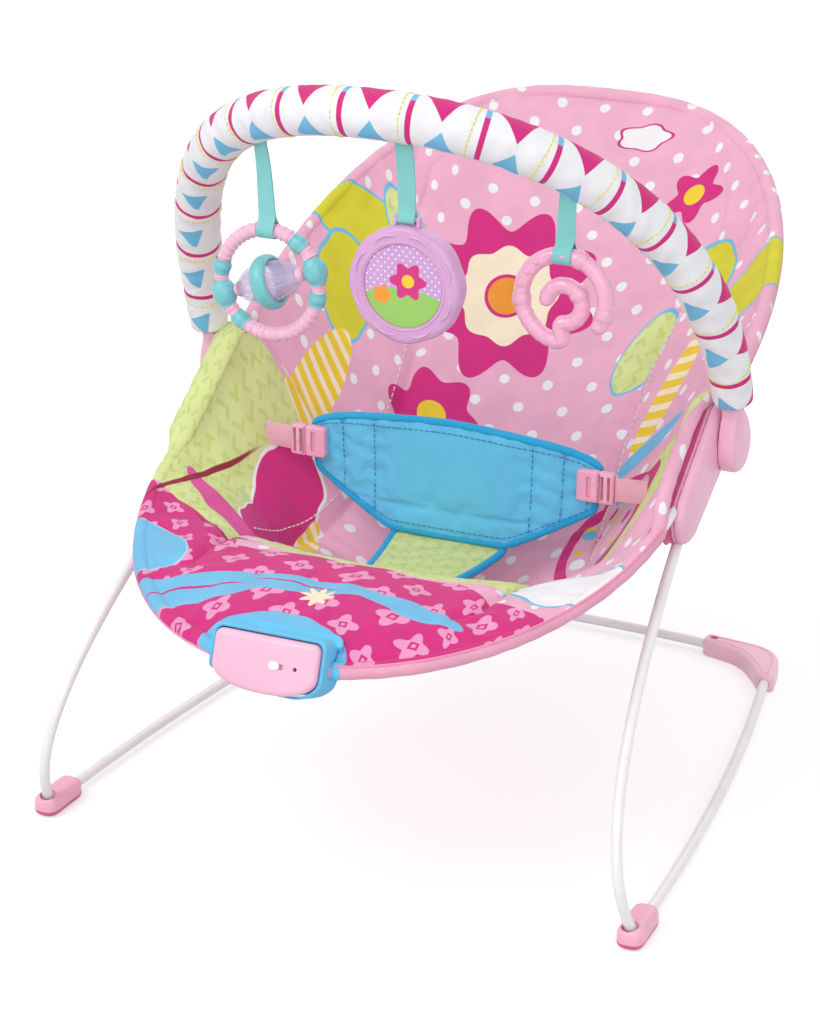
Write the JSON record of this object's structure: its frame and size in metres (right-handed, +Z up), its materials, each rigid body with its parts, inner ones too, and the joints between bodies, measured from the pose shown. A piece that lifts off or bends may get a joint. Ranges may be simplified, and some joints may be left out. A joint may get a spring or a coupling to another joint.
{
  "type": "baby bouncer seat",
  "caption": "Wire-framed baby bouncer with a quilted bucket seat, waist harness, turning padded toy bar with hanging toys, and a small vibration unit at the foot end.",
  "frame": {"origin": "centre of the footprint's bounding box, on the floor", "axes": "+Z up, +Y towards the head end, -Y towards the foot end, +X to the child's left"},
  "size_m": [0.5212, 0.6836, 0.5995],
  "materials": {
    "bar_cloth": "white printed polyester sleeve with shapes and stitches",
    "blue_cloth": "sky-blue padded polyester with piping",
    "cell_jacket": "printed cell jacket",
    "clear_pink": "clear pink soft plastic",
    "clear_violet": "clear violet moulded plastic",
    "deep_moulding": "deep pink moulded plastic, satin",
    "green_cloth": "pale green hatched polyester",
    "lilac_plastic": "lilac moulded plastic",
    "orange_bead": "orange bead plastic",
    "pale_moulding": "pale pink moulded plastic, satin",
    "picture_card": "printed card under a clear film",
    "pink_cloth": "pink woven polyester hem",
    "pink_moulding": "pink moulded plastic, satin",
    "seat_print": "quilted printed polyester, dots, stripes and flowers on pink",
    "steel": "bright zinc-plated steel",
    "teal_plastic": "teal moulded plastic",
    "teal_ribbon": "teal woven ribbon",
    "white_paint": "white gloss enamel",
    "white_plastic": "white moulded plastic"
  },
  "bodies": {
    "base": {"left_corner_screw": "steel", "left_front_foot": "pink_moulding", "left_rail_tube": "white_paint", "left_rear_corner": "pink_moulding", "rear_cross_tube": "white_paint", "right_corner_screw": "steel", "right_front_foot": "pink_moulding", "right_rail_tube": "white_paint", "right_rear_corner": "pink_moulding"},
    "seat_frame": {"back_cloth_sleeve": "pink_cloth", "back_tube": "white_paint", "crotch_flap": "green_cloth", "front_tube": "white_paint", "harness_pad": "blue_cloth", "left_buckle_socket": "pale_moulding", "left_front_sleeve": "pink_cloth", "left_hub_inner": "deep_moulding", "left_hub_outer": "pink_moulding", "left_leg_tube": "white_paint", "left_waist_strap": "pink_cloth", "right_buckle_socket": "pale_moulding", "right_front_sleeve": "pink_cloth", "right_hub_inner": "deep_moulding", "right_hub_outer": "pink_moulding", "right_leg_tube": "white_paint", "right_waist_strap": "pink_cloth", "seat_pad": "seat_print", "unit_battery": "cell_jacket", "unit_battery_door": "pale_moulding", "unit_front_shell": "pale_moulding", "unit_motor": "steel", "unit_rear_shell": "pale_moulding"},
    "toy_bar": {"toy_bar_tube": "white_plastic", "toy_bar_sleeve": "bar_cloth", "left_bar_knuckle": "pink_moulding", "right_bar_knuckle": "pink_moulding"},
    "rattle": {"rattle_ribbon": "teal_ribbon", "rattle_ring": "pale_moulding", "left_rattle_knob": "teal_plastic", "right_rattle_knob": "teal_plastic", "rattle_bead_1": "teal_plastic", "rattle_bead_2": "teal_plastic", "rattle_bead_3": "teal_plastic", "rattle_bead_4": "teal_plastic"},
    "rattle_barrel": {"left_barrel_half": "clear_violet", "right_barrel_half": "clear_violet", "barrel_band": "teal_plastic", "rattle_ball_1": "orange_bead", "rattle_ball_2": "orange_bead"},
    "disc_toy": {"disc_ribbon": "teal_ribbon", "disc_front": "lilac_plastic", "disc_back": "lilac_plastic", "disc_picture": "picture_card"},
    "teether_toy": {"teether_ribbon": "teal_ribbon", "teether": "clear_pink"},
    "switch_knob": {"unit_switch_knob": "white_plastic"},
    "vibration_weight": {"unit_eccentric_weight": "steel"},
    "left_plug": {"left_buckle_plug": "pale_moulding"},
    "right_plug": {"right_buckle_plug": "pale_moulding"}
  },
  "joints": [
    {"name": "bounce", "type": "hinge", "parent": "base", "child": "seat_frame", "pos_m": [0, -0.23428, 0.0125], "axis": [1, 0, 0], "range_deg": [-5, 3], "stiffness_Nm_per_rad": 300, "springref_deg": 0.54},
    {"name": "toy_bar_turn", "type": "hinge", "parent": "seat_frame", "child": "toy_bar", "pos_m": [0, 0.02522, 0.304], "axis": [1, 0, 0], "range_deg": [-30, 5]},
    {"name": "rattle_swing", "type": "hinge", "parent": "toy_bar", "child": "rattle", "pos_m": [-0.095, -0.13406, 0.54705], "axis": [0.8798, -0.3605, 0.3098], "range_deg": [-30, 30]},
    {"name": "barrel_spin", "type": "hinge", "parent": "rattle", "child": "rattle_barrel", "pos_m": [-0.095, -0.13406, 0.43781], "axis": [0.9455, 0, 0.3256], "continuous": true},
    {"name": "disc_swing", "type": "hinge", "parent": "toy_bar", "child": "disc_toy", "pos_m": [0.0275, -0.15017, 0.56129], "axis": [0.994, 0.0858, -0.0682], "range_deg": [-30, 30]},
    {"name": "teether_swing", "type": "hinge", "parent": "toy_bar", "child": "teether_toy", "pos_m": [0.136, -0.11223, 0.5257], "axis": [0.7348, 0.4888, -0.4703], "range_deg": [-30, 30]},
    {"name": "switch_slide", "type": "slide", "parent": "seat_frame", "child": "switch_knob", "axis": [1, 0, 0], "range_m": [0, 0.005]},
    {"name": "weight_spin", "type": "hinge", "parent": "seat_frame", "child": "vibration_weight", "pos_m": [0.0015, -0.30657, 0.22165], "axis": [1, 0, 0], "continuous": true},
    {"name": "left_plug_slide", "type": "slide", "parent": "seat_frame", "child": "left_plug", "axis": [-1, 0, 0], "range_m": [0, 0.013], "deforming": ["left_waist_strap"]},
    {"name": "right_plug_slide", "type": "slide", "parent": "seat_frame", "child": "right_plug", "axis": [1, 0, 0], "range_m": [0, 0.013], "deforming": ["right_waist_strap"]}
  ]
}
